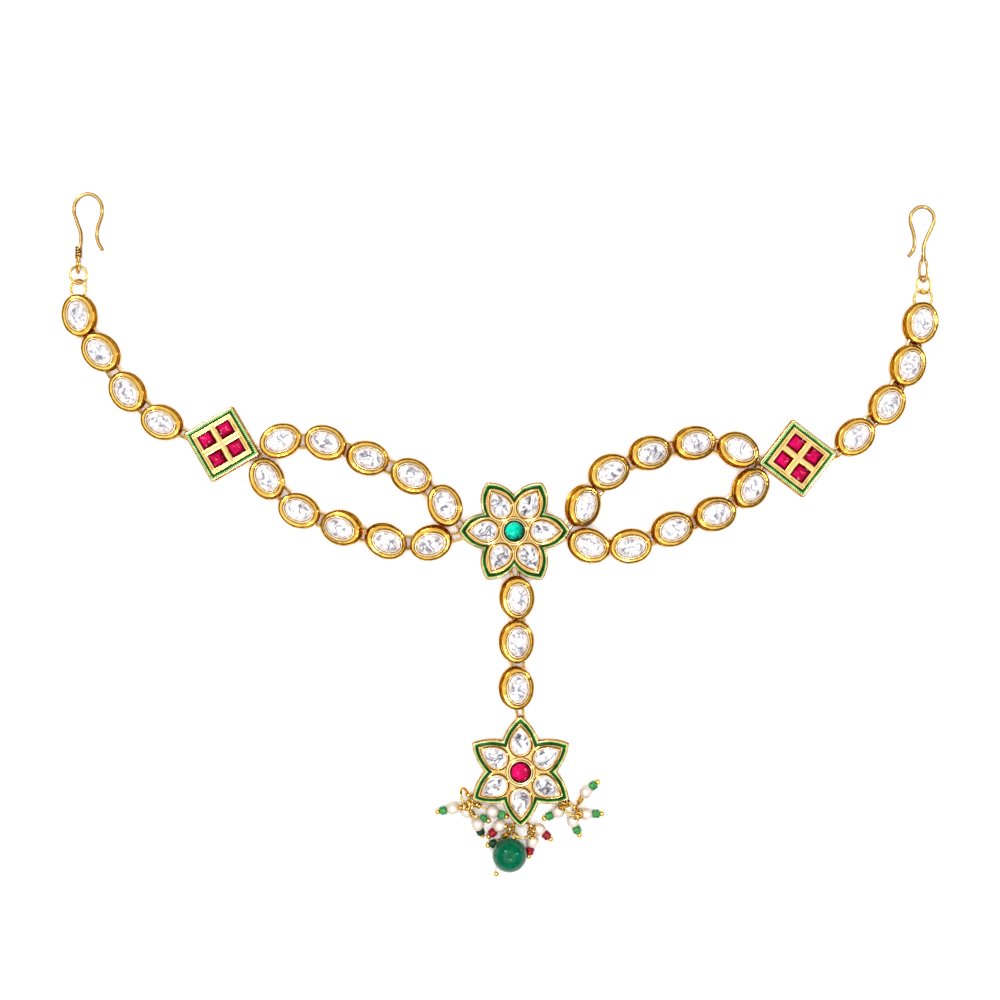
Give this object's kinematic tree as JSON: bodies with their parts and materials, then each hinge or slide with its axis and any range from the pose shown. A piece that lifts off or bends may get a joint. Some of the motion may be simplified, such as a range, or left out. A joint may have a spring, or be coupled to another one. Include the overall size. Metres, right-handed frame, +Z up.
{
  "type": "matha patti hair jewel",
  "caption": "Head ornament of stone-set oval links in two looped side chains with an end hook each, square plaques, a middle flower and a short chain to a second flower fringed with bead drops",
  "frame": {"origin": "middle of the footprint of the jewel as it lies, on the surface under it", "axes": "+X from the left hook side to the right hook side, +Y from the pendant flower towards the hooks, +Z up from the surface, out of the stones' faces"},
  "size_m": [0.1832, 0.1434, 0.0072],
  "materials": {
    "gilt_brass": "polished gilt, with clear set stones and green enamel on the plaques",
    "green_stone": "polished faceted stone",
    "red_stone": "polished faceted stone",
    "pearl": "pearl lustre",
    "green_bead": "polished"
  },
  "bodies": {
    "root": {"left_tail_link_1": "gilt_brass", "left_tail_link_2": "gilt_brass", "left_tail_link_3": "gilt_brass", "left_tail_link_4": "gilt_brass", "left_upper_link_1": "gilt_brass", "left_upper_link_2": "gilt_brass", "left_upper_link_3": "gilt_brass", "left_upper_link_4": "gilt_brass", "left_upper_link_5": "gilt_brass", "left_lower_link_1": "gilt_brass", "left_lower_link_2": "gilt_brass", "left_lower_link_3": "gilt_brass", "left_lower_link_4": "gilt_brass", "left_lower_link_5": "gilt_brass", "right_upper_link_1": "gilt_brass", "right_upper_link_2": "gilt_brass", "right_upper_link_3": "gilt_brass", "right_upper_link_4": "gilt_brass", "right_upper_link_5": "gilt_brass", "right_lower_link_1": "gilt_brass", "right_lower_link_2": "gilt_brass", "right_lower_link_3": "gilt_brass", "right_lower_link_4": "gilt_brass", "right_lower_link_5": "gilt_brass", "right_tail_link_1": "gilt_brass", "right_tail_link_2": "gilt_brass", "right_tail_link_3": "gilt_brass", "right_tail_link_4": "gilt_brass", "centre_link_1": "gilt_brass", "centre_link_2": "gilt_brass", "centre_link_3": "gilt_brass", "left_square": "gilt_brass", "right_square": "gilt_brass", "centre_flower": "gilt_brass", "centre_flower_stone": "green_stone", "pendant_flower": "gilt_brass", "pendant_flower_stone": "red_stone", "left_hook": "gilt_brass", "right_hook": "gilt_brass", "left_ring_1": "gilt_brass", "left_ring_2": "gilt_brass", "right_ring_1": "gilt_brass", "right_ring_2": "gilt_brass", "left_drop_ring": "gilt_brass", "lower_drop_ring": "gilt_brass", "right_drop_ring": "gilt_brass", "left_drop_1": "pearl", "left_drop_2": "pearl", "left_drop_3": "pearl", "left_drop_4": "pearl", "right_drop_1": "pearl", "right_drop_2": "pearl", "right_drop_3": "pearl", "right_drop_4": "pearl", "lower_drop_1": "pearl", "lower_drop_3": "pearl", "lower_drop_4": "pearl", "lower_drop_2": "green_bead", "big_bead_drop": "green_bead"}
  },
  "joints": []
}
